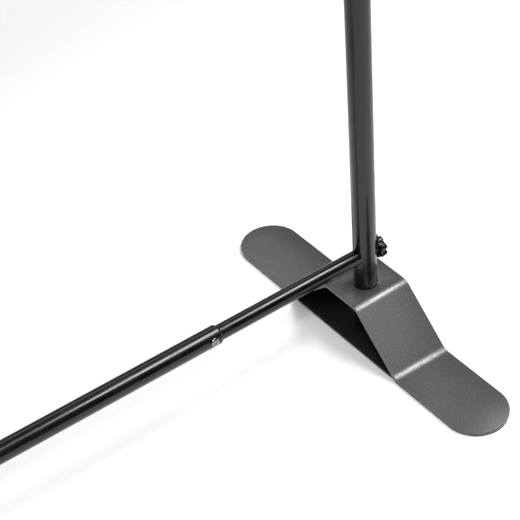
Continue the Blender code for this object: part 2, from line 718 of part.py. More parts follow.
def build_bracket(side, place, channel, parent):
    """A clamp block round the rail sleeve, screwed to the channel behind the desk."""
    face = DESK_BACK - CHANNEL_DEPTH - GAP
    half = BRACKET_RADIUS
    outline = [(-half, -face), (half, -face)] + arc_points((0, 0), half, 0, pi, 16)
    bore = arc_points((0, 0), SLEEVE_RADIUS + GAP, 0, 2 * pi, ROUND_STEPS)[:-1]
    shape = flat_outline(f"desk_bracket_{side}", [outline, bore], BRACKET_WIDTH, BLACK_COAT, parent)
    shape.matrix_basis = Matrix.Translation(place) @ Matrix(((0, 0, 1), (0, 1, 0), (-1, 0, 0))).to_4x4()
    bracket = as_mesh(shape, BLACK_COAT)
    under_channel = place + BACKWARD * (CHANNEL_DEPTH - DESK_BACK - SHEET - GAP)
    for end, direction in (("upper", UP), ("lower", -UP)):
        seat = under_channel + direction * BRACKET_SCREW_SPACING / 2
        hole = BRACKET_SCREW_RADIUS + SCREW_CLEARANCE
        length = BRACKET_SCREW_GRIP + 2 * OVERCUT
        drill = bar(
            f"screw_drill_{end}_{side}",
            hole,
            length,
            seat - BACKWARD * OVERCUT,
            BACKWARD,
            steps=SMALL_STEPS,
            parent=parent,
        )
        boolean(bracket, drill)
        boolean(channel, drill)
        profile = [
            (0, BRACKET_SCREW_GRIP),
            (BRACKET_SCREW_RADIUS, BRACKET_SCREW_GRIP),
            (BRACKET_SCREW_RADIUS, 0),
            (2 * BRACKET_SCREW_RADIUS, 0),
            (2 * BRACKET_SCREW_RADIUS, -BRACKET_SCREW_HEAD),
            (0, -BRACKET_SCREW_HEAD),
        ]
        screw = turned(f"bracket_screw_{end}_{side}", profile, ZINC, steps=SMALL_STEPS, parent=parent)
        aim(screw, seat, BACKWARD)


def desk_frame():
    """The empty on the rail axis that carries the desk, tilted as it stands at rest."""
    frame = bpy.data.objects.new("desk_frame", None)
    STAND.objects.link(frame)
    frame.location = (0, 0, RAIL_HEIGHT)
    frame.rotation_euler.x = -DESK_TILT
    return frame


for old in list(bpy.data.objects):
    bpy.data.objects.remove(old)
STAND = new_collection("music_stand")
CUTTERS = new_collection("cutters")

GRAPHITE = finish_material("graphite_powder_coat", (0.105, 0.105, 0.108), 0.55, 0.0)
BLACK_GLOSS = finish_material("black_gloss_coat", (0.010, 0.010, 0.010), 0.22, 0.0)
BLACK_COAT = finish_material("black_coat", (0.012, 0.012, 0.012), 0.45, 0.0)
PLASTIC = finish_material("black_plastic", (0.014, 0.014, 0.014), 0.38, 0.0)
RUBBER = finish_material("black_rubber", (0.020, 0.020, 0.020), 0.85, 0.0)
ZINC = finish_material("zinc_plated_steel", (0.62, 0.62, 0.64), 0.30, 1.0)

DESK_FRAME = desk_frame()
for hand, sign in (("left", -1), ("right", 1)):
    build_foot(hand, sign * COLUMN_X)
    build_column(hand, sign * COLUMN_X)
    build_crossbar_end(hand, sign * COLUMN_X)
    build_height_collar(hand, sign * COLUMN_X)
    build_head_clamp(hand, sign * COLUMN_X)
    build_rail_end(hand, DESK_FRAME)
build_sleeve("crossbar_sleeve", "sleeve_screw", CROSSBAR_HEIGHT)
build_sleeve("rail_sleeve", "rail_screw", 0.0, DESK_FRAME)
build_desk(DESK_FRAME)
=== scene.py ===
"""The looks of a two-column music stand: its finishes, its detailed pieces and the studio round it.

Lengths are in metres, +Z is up, +X runs along the crossbar to the right-hand column, and the reader stands
on the -Y side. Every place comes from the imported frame.
"""

import json
import logging
from dataclasses import dataclass
from enum import Enum
from math import atan2, cos, pi, radians, sin, sqrt, tan
from typing import Any, Callable, Iterable, Sequence

import bmesh
import bpy
from mathutils import Matrix, Vector


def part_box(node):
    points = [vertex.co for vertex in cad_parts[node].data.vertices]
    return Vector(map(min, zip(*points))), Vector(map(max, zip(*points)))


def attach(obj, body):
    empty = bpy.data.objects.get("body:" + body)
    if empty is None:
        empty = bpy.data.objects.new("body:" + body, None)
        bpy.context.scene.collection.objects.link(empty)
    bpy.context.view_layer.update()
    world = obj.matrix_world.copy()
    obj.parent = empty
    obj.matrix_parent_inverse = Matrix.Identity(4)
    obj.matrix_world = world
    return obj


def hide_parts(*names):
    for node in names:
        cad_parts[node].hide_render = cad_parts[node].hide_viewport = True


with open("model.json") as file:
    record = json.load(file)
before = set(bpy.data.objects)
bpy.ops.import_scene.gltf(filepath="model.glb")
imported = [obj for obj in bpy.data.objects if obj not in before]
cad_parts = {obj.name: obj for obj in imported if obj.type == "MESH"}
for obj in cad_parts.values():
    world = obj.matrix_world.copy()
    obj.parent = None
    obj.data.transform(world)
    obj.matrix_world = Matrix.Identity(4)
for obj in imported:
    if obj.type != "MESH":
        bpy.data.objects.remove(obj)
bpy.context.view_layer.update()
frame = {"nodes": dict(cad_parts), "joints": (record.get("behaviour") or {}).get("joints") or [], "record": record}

LOG = logging.getLogger("music_stand")
MM = 0.001
UP = Vector((0, 0, 1))
BACKWARD = Vector((0, 1, 0))
RIGHTWARD = Vector((1, 0, 0))
TUBE_STEPS = 96  # facets of a tube
SMALL_STEPS = 48  # facets of a screw, a stud's hole and a boss
MERGE = 1e-6  # points closer than this are one
GAP = 0.3 * MM  # left between pieces that touch
OVERCUT = 4 * MM  # how far a cutting tool reaches past what it cuts
SLEEVE_RADIUS = 12.5 * MM
SLEEVE_BORE = 10.3 * MM
SLEEVE_RIM = 0.25 * MM  # the rounding of a sleeve's rims
SLEEVE_CHAMFER = 2.4 * MM
SCREW_LIFT = radians(12)  # how far above the front of a sleeve its screws sit
SCREW_TURN = radians(20)  # how far their recesses are turned
STUD_HOLE = 3.3 * MM  # radius of the hole that a clamp knob's stud passes
KNOB_TURN = radians(-12.0)  # how far every star knob is turned from its first lobe at rest

Point = tuple[float, float]
Socket = bpy.types.NodeSocket
Tree = bpy.types.NodeTree
Shape = bmesh.types.BMesh


class Side(Enum):
    """The two mirrored halves of the stand."""

    LEFT = "left"
    RIGHT = "right"

    @property
    def outward(self) -> Vector:
        """The direction from the middle of the stand to this side."""
        return RIGHTWARD if self is Side.RIGHT else -RIGHTWARD


class Drive(Enum):
    """The recess that a screw is turned by."""

    CROSS = "cross"
    HEXAGON = "hexagon"


# --- small tools -------------------------------------------------------------------------------
def linear(code: str) -> tuple[float, float, float, float]:
    """Turn an sRGB hex colour into linear light.

    Args:
        code: Six hex digits, such as "5a5c5e".

    Returns:
        Red, green, blue and an alpha of one.
    """
    parts = [int(code[k : k + 2], 16) / 255 for k in (0, 2, 4)]
    red, green, blue = [p / 12.92 if p <= 0.04045 else ((p + 0.055) / 1.055) ** 2.4 for p in parts]
    return (red, green, blue, 1.0)


def add_node(tree: Tree, kind: str, inputs: dict[Any, Any], **settings: Any) -> bpy.types.Node:
    """Add a node with its settings, its input values and its links.

    Args:
        tree: The node tree that the node joins.
        kind: The node's type name.
        inputs: A value or an output socket for each input, by its name or number.
        **settings: Properties of the node itself.

    Returns:
        The new node.
    """
    node = tree.nodes.new(kind)
    for name, value in settings.items():
        setattr(node, name, value)
    for key, value in inputs.items():
        if isinstance(value, Socket):
            tree.links.new(value, node.inputs[key])
        else:
            node.inputs[key].default_value = value
    return node


def middle(node: str) -> Vector:
    """Give the centre of a CAD node's box."""
    low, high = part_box(node)
    return (low + high) / 2


def extent(node: str) -> Vector:
    """Give the three lengths of a CAD node's box."""
    low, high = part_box(node)
    return high - low


def foot_of(node: str) -> Vector:
    """Give the centre of the underside of a CAD node's box."""
    low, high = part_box(node)
    return Vector(((low.x + high.x) / 2, (low.y + high.y) / 2, low.z))


def inner_end(node: str, side: Side) -> Vector:
    """Give the centre of the end of a CAD node's box that faces the middle of the stand."""
    return middle(node) - side.outward * extent(node).x / 2


def joint(name: str) -> dict[str, Any]:
    """Give a joint of the record by its name."""
    return next(j for j in frame["joints"] if j["name"] == name)


# --- finishes ----------------------------------------------------------------------------------
@dataclass(frozen=True)
class Pattern:
    """A noise pattern.

    Attributes:
        size: How far across its blotches are.
        detail: How many finer layers it has.
    """

    size: float
    detail: float

    def factor(self, tree: Tree, place: Socket) -> Socket:
        """Give the pattern's factor at each point."""
        inputs = {"Vector": place, "Scale": 1.0 / self.size, "Detail": self.detail}
        return add_node(tree, "ShaderNodeTexNoise", inputs).outputs["Fac"]


@dataclass(frozen=True)
class Finish:
    """A surface finish that covers a whole piece.

    Attributes:
        name: What a maker calls the finish.
        slot: The record's material slot that it belongs to. It is not used.
        roughness: The middle of its roughness.
        darker: The sRGB colour of its darkest patches.
        lighter: The sRGB colour of its lightest patches.
    """

    name: str
    slot: str
    roughness: float
    darker: str
    lighter: str

    def material(self) -> bpy.types.Material:
        """Return the finish's material, and build it the first time."""
        found = bpy.data.materials.get(self.name)
        if found:
            return found
        material = bpy.data.materials.new(self.name)
        material.use_nodes = True
        tree = material.node_tree
        tree.nodes.clear()
        shader = self.paint(tree, add_node(tree, "ShaderNodeTexCoord", {}).outputs["Object"])
        add_node(tree, "ShaderNodeOutputMaterial", {"Surface": shader.outputs[0]})
        return material

    def paint(self, tree: Tree, place: Socket) -> bpy.types.Node:
        """Build the shader. Each kind of finish has its own.

        Args:
            tree: The material's node tree.
            place: The output that gives the point on the piece.

        Returns:
            The surface shader node.
        """
        raise NotImplementedError

    def gloss(self, tree: Tree, factor: Socket, low: float, high: float) -> Socket:
        """Stretch a noise factor's useful part, 0.3 to 0.7, to offsets from the roughness."""
        ends = {"To Min": self.roughness + low, "To Max": self.roughness + high}
        inputs = {"Value": factor, "From Min": 0.3, "From Max": 0.7, **ends}
        return add_node(tree, "ShaderNodeMapRange", inputs).outputs["Result"]

    def tint(self, tree: Tree, factor: Socket) -> Socket:
        """Run a noise factor from the darker colour to the lighter one."""
        ramp = add_node(tree, "ShaderNodeValToRGB", {"Fac": factor})
        stops = zip(ramp.color_ramp.elements, (0.32, 0.68), (self.darker, self.lighter))
        for element, position, code in stops:
            element.position = position
            element.color = linear(code)
        return ramp.outputs["Color"]

    def bump(self, tree: Tree, height: Socket, relief: float, strength: float, **under: Socket) -> Socket:
        """Turn a height factor into a normal.

        Args:
            tree: The material's node tree.
            height: The factor.
            relief: How far its highest points stand up.
            strength: How much of the relief shows.
            **under: "Normal" gives the normal that it is laid over.

        Returns:
            The normal.
        """
        inputs = {"Height": height, "Distance": relief, "Strength": strength, **under}
        return add_node(tree, "ShaderNodeBump", inputs).outputs["Normal"]


@dataclass(frozen=True)
class TexturedPowderCoat(Finish):
    """Fine-texture polyester powder coat with metallic flakes, on steel.

    The powder melts into a skin of grains about 0.4 mm across that never quite flow together. Flakes of
    mica and aluminium in them scatter the light into a broad sheen that brightens over a fold, with a
    salt-and-pepper sparkle, and hide the steel's own marks.

    Attributes:
        flakes: How much of the sheen comes from the metal flakes.
        relief: How far the grains stand up.
        grain: The grains, drawn three times as coarse as they are, so that they show.
        ripple: The slow unevenness under them.
        cloud: The drift of the colour over the piece.
        drift: How much of the colour is that drift.
    """

    flakes: float = 0.72
    relief: float = 0.035 * MM
    grain: Pattern = Pattern(1.3 * MM, 1.0)
    ripple: Pattern = Pattern(4 * MM, 1.0)
    cloud: Pattern = Pattern(45 * MM, 2.0)
    drift: float = 0.12

    def paint(self, tree: Tree, place: Socket) -> bpy.types.Node:
        """Build the coat: grain in colour, gloss and relief, and a slow drift over the piece."""
        grain, cloud = self.grain.factor(tree, place), self.cloud.factor(tree, place)
        mottle = add_node(tree, "ShaderNodeMix", {0: self.drift, 2: grain, 3: cloud}, data_type="FLOAT")
        soft = self.bump(tree, self.ripple.factor(tree, place), 2 * self.relief, 0.5)
        inputs = {
            "Base Color": self.tint(tree, mottle.outputs[0]),
            "Metallic": self.flakes,
            "Roughness": self.gloss(tree, grain, 0.06, -0.06),
            "Normal": self.bump(tree, grain, self.relief, 1.0, Normal=soft),
            "IOR": 1.5,
        }
        return add_node(tree, "ShaderNodeBsdfPrincipled", inputs)


@dataclass(frozen=True)
class GlossEnamel(Finish):
    """Gloss black stoving enamel on drawn steel tube.

    It flows out nearly flat, so it mirrors its surroundings, with the slow waviness called orange peel, and
    dust pips and faint rub marks that dull it here and there.

    Attributes:
        peel: The orange peel.
        relief: The height of its waves.
        rub: The rub marks.
        pip_spacing: The spacing of the dust pips.
        pip_relief: Their height.
    """

    peel: Pattern = Pattern(6 * MM, 1.0)
    relief: float = 0.003 * MM
    rub: Pattern = Pattern(18 * MM, 5.0)
    pip_spacing: float = 7 * MM
    pip_relief: float = 0.02 * MM

    def paint(self, tree: Tree, place: Socket) -> bpy.types.Node:
        """Build the enamel: wavy relief, rubbed patches and tiny pips."""
        rubbed = self.rub.factor(tree, place)
        spots = add_node(tree, "ShaderNodeTexVoronoi", {"Vector": place, "Scale": 1 / self.pip_spacing})
        steps = {"From Min": 0.0, "From Max": 0.09, "To Min": 1.0, "To Max": 0.0}
        pip = add_node(tree, "ShaderNodeMapRange", {"Value": spots.outputs["Distance"], **steps})
        wavy = self.bump(tree, self.peel.factor(tree, place), self.relief, 1.0)
        inputs = {
            "Base Color": self.tint(tree, rubbed),
            "Roughness": self.gloss(tree, rubbed, -0.03, 0.05),
            "Normal": self.bump(tree, pip.outputs["Result"], self.pip_relief, 0.25, Normal=wavy),
            "IOR": 1.47,
        }
        return add_node(tree, "ShaderNodeBsdfPrincipled", inputs)


@dataclass(frozen=True)
class CloudedFinish(Finish):
    """A finish with a fine skin in relief, and slow clouds in its colour and its gloss.

    Attributes:
        skin: The skin.
        relief: How far it stands up.
        strength: How much of that shows.
        cloud: The clouds.
        glossier: How far the roughness falls in them.
        duller: How far it rises.
        settings: The shader's inputs that are the same all over.
    """

    skin: Pattern
    relief: float
    strength: float
    cloud: Pattern
    glossier: float
    duller: float
    settings: tuple[tuple[str, float], ...]

    def paint(self, tree: Tree, place: Socket) -> bpy.types.Node:
        """Build the finish: its skin in relief, its clouds in colour and gloss."""
        cloud = self.cloud.factor(tree, place)
        inputs = {
            "Base Color": self.tint(tree, cloud),
            "Roughness": self.gloss(tree, cloud, -self.glossier, self.duller),
            "Normal": self.bump(tree, self.skin.factor(tree, place), self.relief, self.strength),
            **dict(self.settings),
        }
        return add_node(tree, "ShaderNodeBsdfPrincipled", inputs)


GRAPHITE = TexturedPowderCoat("graphite_powder_coat", "graphite_coat", 0.38, "494a4b", "6b6c6d")
ENAMEL = GlossEnamel("gloss_black_enamel", "black_gloss_coat", 0.22, "050505", "0b0b0b")
# A thin satin coat on die-cast zinc and steel plate: the casting's gentle hollows change its sheen slowly. On the
# bridge plate in each foot, its near-black is also painted shade for the dark under the foot's hollow.
SATIN = CloudedFinish(
    "satin_black_coat", "black_coat", 0.42, "080808", "121213",
    Pattern(2.2 * MM, 3.0), 0.04 * MM, 0.8, Pattern(14 * MM, 4.0), 0.05, 0.07, (("IOR", 1.5),),
)  # fmt: skip
# Injection-moulded polyamide: glossy from its polished mould, with short faint flow marks from its fibre.
POLYAMIDE = CloudedFinish(
    "black_polyamide", "black_plastic", 0.14, "050505", "0d0d0d",
    Pattern(0.6 * MM, 2.0), 0.008 * MM, 0.8, Pattern(3 * MM, 6.0), 0.04, 0.06, (("IOR", 1.53),),
)  # fmt: skip
# Calendered sheet rubber: it drinks the light, and the rollers' talc leaves pale clouds on a pebbled skin.
RUBBER = CloudedFinish(
    "black_sheet_rubber", "black_rubber", 0.82, "131313", "242323",
    Pattern(1.1 * MM, 3.0), 0.10 * MM, 0.8, Pattern(22 * MM, 6.0), 0.06, 0.06, (("IOR", 1.5),),
)  # fmt: skip
# Bright zinc plate on turned steel: it keeps the lathe's fine marks and clouds a little, with a cold cast.
ZINC = CloudedFinish(
    "bright_zinc_plate", "zinc_steel", 0.20, "76787a", "a2a4a6",
    Pattern(0.35 * MM, 2.0), 0.006 * MM, 0.7, Pattern(3.5 * MM, 4.0), 0.06, 0.08, (("Metallic", 1.0),),
)  # fmt: skip


# --- mesh tools --------------------------------------------------------------------------------
def turned(profile: Sequence[Point], steps: int = TUBE_STEPS, closed: bool = True) -> Shape:
    """Turn a profile about +Z.

    Args:
        profile: Points of (radius, height), joined in order.
        steps: How many facets go round.
        closed: Whether the last point joins the first, as in a tube's wall.

    Returns:
        A new bmesh with the turned shape.
    """
    shape = bmesh.new()
    points = [shape.verts.new((radius, 0, height)) for radius, height in profile]
    ends = points[1:] + points[:1] if closed else points[1:]
    edges = [shape.edges.new(pair) for pair in zip(points, ends)]
    bmesh.ops.spin(
        shape, geom=points + edges, cent=(0, 0, 0), axis=(0, 0, 1), angle=2 * pi, steps=steps, use_merge=True
    )
    bmesh.ops.remove_doubles(shape, verts=shape.verts, dist=MERGE)
    bmesh.ops.recalc_face_normals(shape, faces=shape.faces)
    return shape


def grown(shape: Shape, by: Vector) -> None:
    """Give a flat shape a thickness along a direction."""
    made = bmesh.ops.extrude_face_region(shape, geom=list(shape.faces))["geom"]
    far = [g for g in made if isinstance(g, bmesh.types.BMVert)]
    bmesh.ops.translate(shape, vec=by, verts=far)


def soften(shape: Shape, radius: float, segments: int = 3, angle: float = 50.0) -> Shape:
    """Round a shape's sharp edges.

    Args:
        shape: The shape to round.
        radius: The size of the rounding.
        segments: How many facets it has.
        angle: The least angle between two faces, in degrees, that counts as an edge.

    Returns:
        The same shape.
    """
    sharp = [e for e in shape.edges if len(e.link_faces) == 2 and e.calc_face_angle(0.0) > radians(angle)]
    bmesh.ops.bevel(
        shape,
        geom=sharp,
        offset=radius,
        offset_type="OFFSET",
        segments=segments,
        profile=0.5,
        affect="EDGES",
        material=-1,
        clamp_overlap=True,
    )
    return shape


def stood(shape: Shape, place: Vector, aim: Vector = UP, turn: float = 0.0) -> Shape:
    """Move a shape that was made along +Z to its place.

    Args:
        shape: The shape to move.
        place: Where its origin goes.
        aim: Where its +Z goes.
        turn: An angle that it is first turned by about +Z.

    Returns:
        The same shape.
    """
    swing = UP.rotation_difference(aim).to_matrix().to_4x4() @ Matrix.Rotation(turn, 4, "Z")
    bmesh.ops.transform(shape, matrix=Matrix.Translation(place) @ swing, verts=shape.verts)
    return shape


def block(size: Vector, place: Vector) -> Shape:
    """Make a rectangular block about a place."""
    shape = bmesh.new()
    bmesh.ops.create_cube(shape, size=1.0)
    bmesh.ops.scale(shape, vec=size, verts=shape.verts)
    bmesh.ops.translate(shape, vec=place, verts=shape.verts)
    return shape


def rod(radius: float, length: float, steps: int = TUBE_STEPS) -> Shape:
    """Make a solid cylinder from the origin along +Z."""
    shape = bmesh.new()
    bmesh.ops.create_cone(shape, cap_ends=True, segments=steps, radius1=radius, radius2=radius, depth=length)
    bmesh.ops.translate(shape, vec=(0, 0, length / 2), verts=shape.verts)
    return shape


def as_object(shape: Shape, name: str) -> bpy.types.Object:
    """Turn a shape into an object, and free the shape."""
    mesh = bpy.data.meshes.new(name)
    shape.to_mesh(mesh)
    shape.free()
    item = bpy.data.objects.new(name, mesh)
    bpy.context.scene.collection.objects.link(item)
    return item


def evaluated(item: bpy.types.Object) -> Shape:
    """Read an object's mesh with its modifiers applied, and remove the object."""
    graph = bpy.context.evaluated_depsgraph_get()
    graph.update()
    shape = bmesh.new()
    mesh = bpy.data.meshes.new_from_object(item.evaluated_get(graph))
    shape.from_mesh(mesh)
    bpy.data.meshes.remove(mesh)
    bpy.data.meshes.remove(item.data)
    return shape


def combined(shape: Shape, tools: Iterable[Shape], operation: str = "DIFFERENCE") -> Shape:
    """Cut tools out of a shape, or join them to it.

    Args:
        shape: The shape to change.
        tools: The closed shapes to cut out or to join. They are freed.
        operation: "DIFFERENCE" or "UNION".

    Returns:
        A new shape. The old one is freed.
    """
    item = as_object(shape, "work")
    helpers = []
    for number, tool in enumerate(tools):
        helper = as_object(tool, f"tool_{number}")
        modifier = item.modifiers.new(helper.name, "BOOLEAN")
        modifier.operation = operation
        modifier.solver = "EXACT"
        modifier.object = helper
        helpers.append(helper)
    result = evaluated(item)
    for helper in helpers:
        bpy.data.meshes.remove(helper.data)
    bmesh.ops.remove_doubles(result, verts=result.verts, dist=MERGE)
    return result


def rounded_path(corners: Sequence[Point], radii: Sequence[float], steps: int = 12) -> list[Point]:
    """Round the inner corners of a path to their fold radii.

    Args:
        corners: The path's corners, in order.
        radii: The fold radius of each inner corner.
        steps: How many facets each fold has.

    Returns:
        The points of the rounded path.
    """
    path = [corners[0]]
    for before, corner, after, radius in zip(corners, corners[1:], corners[2:], radii):
        come = (Vector(corner) - Vector(before)).normalized()
        leave = (Vector(after) - Vector(corner)).normalized()
        turn = come.angle_signed(leave)
        side = Vector((come.y, -come.x)) if turn > 0 else Vector((-come.y, come.x))
        centre = Vector(corner) - come * radius * tan(abs(turn) / 2) + side * radius
        start = atan2(-side.y, -side.x)
        for k in range(steps + 1):
            angle = start - turn * k / steps
            path.append((centre.x + radius * cos(angle), centre.y + radius * sin(angle)))
    path.append(corners[-1])
    return path


def with_stations(path: Sequence[Point], places: Iterable[float]) -> list[Point]:
    """Add points to a path where its first coordinate passes given places."""
    result = [path[0]]
    for before, after in zip(path, path[1:]):
        low, high = sorted((before[0], after[0]))
        inside = sorted((p for p in places if low + MERGE < p < high - MERGE), reverse=after[0] < before[0])
        for place in inside:
            share = (place - before[0]) / (after[0] - before[0])
            result.append((place, before[1] + share * (after[1] - before[1])))
        result.append(after)
    return result


def folded_strip(path: Sequence[Point], half_width: Callable[[Point], float], thickness: float) -> Shape:
    """Fold a strip of sheet along a path, and give it its thickness.

    Args:
        path: Points of (y, z) on the sheet's middle surface.
        half_width: Gives the strip's half width at a point of the path.
        thickness: The sheet's thickness.

    Returns:
        A closed shape, wide along X.
    """
    shape = bmesh.new()
    first = half_width(path[0])
    ends = [shape.verts.new((sign * first, *path[0])) for sign in (-1, 1)]
    edge = shape.edges.new(ends)
    for point in path[1:]:
        made = bmesh.ops.extrude_edge_only(shape, edges=[edge])["geom"]
        edge = next(g for g in made if isinstance(g, bmesh.types.BMEdge))
        width = half_width(point)
        for corner in edge.verts:
            corner.co = (width if corner.co.x > 0 else -width, *point)
    bmesh.ops.recalc_face_normals(shape, faces=shape.faces)
    shape.normal_update()
    for corner in shape.verts:
        corner.co += corner.normal * thickness / 2
    bmesh.ops.solidify(shape, geom=list(shape.faces), thickness=thickness)
    bmesh.ops.recalc_face_normals(shape, faces=shape.faces)
    return shape


def cope(shape: Shape, axis: Vector, outward: Vector, radius: float, near: float) -> None:
    """Shape the end of a tube that meets an upright column to the column's round.

    Args:
        shape: The tube, which lies along X.
        axis: A point on the column's axis.
        outward: The direction from the tube to the column.
        radius: The radius that the end keeps off the column's axis.
        near: Points closer than this to the column's axis, along X, belong to the end.
    """
    sign = outward.x
    for corner in shape.verts:
        distance = sign * (axis.x - corner.co.x)
        if abs(distance) < near:
            across = corner.co.y - axis.y
            corner.co.x = axis.x - sign * sqrt(max(radius**2 - across**2, 0.0))


def finish_piece(
    shape: Shape, name: str, finish: Finish, body: str, nodes: Sequence[str], sharp: float = 35.0
) -> bpy.types.Object:
    """Make a piece of the stand from its shape, and dress it.

    Args:
        shape: The finished shape, in place.
        name: The piece's name.
        finish: The finish that covers it.
        body: The CAD body that it moves with.
        nodes: The CAD nodes that it stands for.
        sharp: Edges sharper than this, in degrees, stay sharp in the shading.

    Returns:
        The piece.
    """
    bmesh.ops.recalc_face_normals(shape, faces=shape.faces)
    piece = as_object(shape, name)
    piece.data.shade_smooth()
    piece.data.set_sharp_from_angle(angle=radians(sharp))
    piece.data.materials.append(finish.material())
    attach(piece, body)
    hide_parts(*nodes)
    LOG.info("%s: %d faces, %s, on %s", name, len(piece.data.polygons), finish.name, body)
    return piece


# --- small parts that repeat -------------------------------------------------------------------
@dataclass(frozen=True)
class Screw:
    """A round-headed screw whose shank is hidden in the stand.

    Attributes:
        head_radius: The radius of its head.
        head_height: The height of its head.
        shank_radius: The radius of its shank.
        shank_length: The length of its shank.
        drive: Its recess.
        edge: The head's height at its edge, as a share of its full height.
        recess_depth: How deep the recess is, as a share of the head's height.
    """

    head_radius: float
    head_height: float
    shank_radius: float
    shank_length: float
    drive: Drive
    edge: float = 0.35
    recess_depth: float = 0.6

    def shape(self) -> Shape:
        """Build the screw along +Z, with the underside of its head at the origin."""
        radius, height = self.head_radius, self.head_height
        quarter = [k * pi / 16 for k in range(8)]
        crown = [(radius * cos(a), height * (self.edge + (1 - self.edge) * sin(a))) for a in quarter]
        profile = [(0, -self.shank_length), (self.shank_radius, -self.shank_length), (self.shank_radius, 0)]
        profile += [(radius, 0), *crown, (0, height)]
        return combined(turned(profile, SMALL_STEPS, closed=False), self.recess())

    def recess(self) -> list[Shape]:
        """Build the tools that cut the drive into the head."""
        depth = self.head_height * self.recess_depth
        top = self.head_height + depth
        if self.drive is Drive.HEXAGON:
            return [stood(rod(self.head_radius * 0.5, 2 * depth, 6), Vector((0, 0, top - 2 * depth)))]
        long, wide = self.head_radius * 1.2, self.head_radius * 0.34
        sizes = (long, wide, 2 * depth), (wide, long, 2 * depth)
        return [block(Vector(size), Vector((0, 0, top - depth))) for size in sizes]


PAN_HEAD = Screw(5.4 * MM, 2.8 * MM, 2.5 * MM, 1.8 * MM, Drive.CROSS)


# The rings of a star knob, from its flat side up to the dish in its face: each ring's height as a share of
# the knob's depth, and its size as a share of the full outline.
KNOB_RINGS = (
    (0.0, 0.90), (0.03, 0.955), (0.09, 0.99), (0.16, 1.0), (0.80, 1.0), (0.89, 0.985), (0.95, 0.95),
    (0.985, 0.90), (1.0, 0.80), (1.0, 0.52), (0.965, 0.50), (0.955, 0.46), (0.955, 0.20),
)  # fmt: skip


@dataclass(frozen=True)
class StarKnob:
    """A moulded star knob with rounded lobes, whose flat side faces the clamp.

    Attributes:
        radius: The radius over the lobes.
        depth: The thickness.
        lobes: How many lobes it has.
        valley: How deep the hollows between lobes are, as a share of the radius.
        floor: The wave's depth, of one, below which a hollow is at its deepest.
        flank: How much of the wave's height a lobe's flank takes.
        steps: How many points go round.
    """

    radius: float
    depth: float
    lobes: int = 7
    valley: float = 0.20
    floor: float = 0.75
    flank: float = 1.2
    steps: int = 252

    def outline(self, angle: float) -> float:
        """Give the radius at an angle: broad lobes, with narrower hollows between them."""
        share = min(max((cos(self.lobes * angle) + self.floor) / self.flank, 0.0), 1.0)
        smooth = share * share * (3 - 2 * share)
        return self.radius * (1 - self.valley * (1 - smooth))

    def shape(self) -> Shape:
        """Build the knob along +Z from the origin."""
        shape = bmesh.new()
        bmesh.ops.create_circle(shape, cap_ends=False, radius=1.0, segments=self.steps)
        for corner in shape.verts:
            corner.co *= self.outline(atan2(corner.co.y, corner.co.x))
        rim = list(shape.edges)
        low, scale = KNOB_RINGS[0]
        bmesh.ops.scale(shape, vec=(scale, scale, 1), verts=shape.verts)
        bmesh.ops.edgeloop_fill(shape, edges=rim)
        for level, size in KNOB_RINGS[1:]:
            made = bmesh.ops.extrude_edge_only(shape, edges=rim)["geom"]
            rim = [g for g in made if isinstance(g, bmesh.types.BMEdge)]
            ring = [g for g in made if isinstance(g, bmesh.types.BMVert)]
            bmesh.ops.scale(shape, vec=(size / scale, size / scale, 1), verts=ring)
            bmesh.ops.translate(shape, vec=(0, 0, (level - low) * self.depth), verts=ring)
            low, scale = level, size
        bmesh.ops.edgeloop_fill(shape, edges=rim)
        bmesh.ops.recalc_face_normals(shape, faces=shape.faces)
        return shape


@dataclass(frozen=True)
class Tube:
    """A drawn tube with lightly rounded rims.

    Attributes:
        radius: The outer radius.
        wall: The wall's thickness.
        length: The length.
        rim: The rounding of the rims.
        chamfer: How far a chamfer runs in from each end.
        slant: The chamfer's angle to the axis.
    """

    radius: float
    wall: float
    length: float
    rim: float = 0.35 * MM
    chamfer: float = 0.0
    slant: float = radians(30)

    def shape(self) -> Shape:
        """Build the tube along +Z from the origin."""
        bore = self.radius - self.wall
        run, drop = self.chamfer, self.chamfer * tan(self.slant)
        outer = [(self.radius, self.length - run), (self.radius, run)]
        if run:
            outer = [(self.radius - drop, self.length), *outer, (self.radius - drop, 0)]
        return soften(turned([*outer, (bore, 0), (bore, self.length)]), self.rim, 3, 20)


# --- sub-assemblies ----------------------------------------------------------------------------
@dataclass
class Sided:
    """A sub-assembly of one half of the stand.

    Attributes:
        side: Which half it belongs to.
    """

    side: Side

    def node(self, name: str) -> str:
        """Give the name of this side's CAD node or piece."""
        return f"{name}_{self.side.value}"


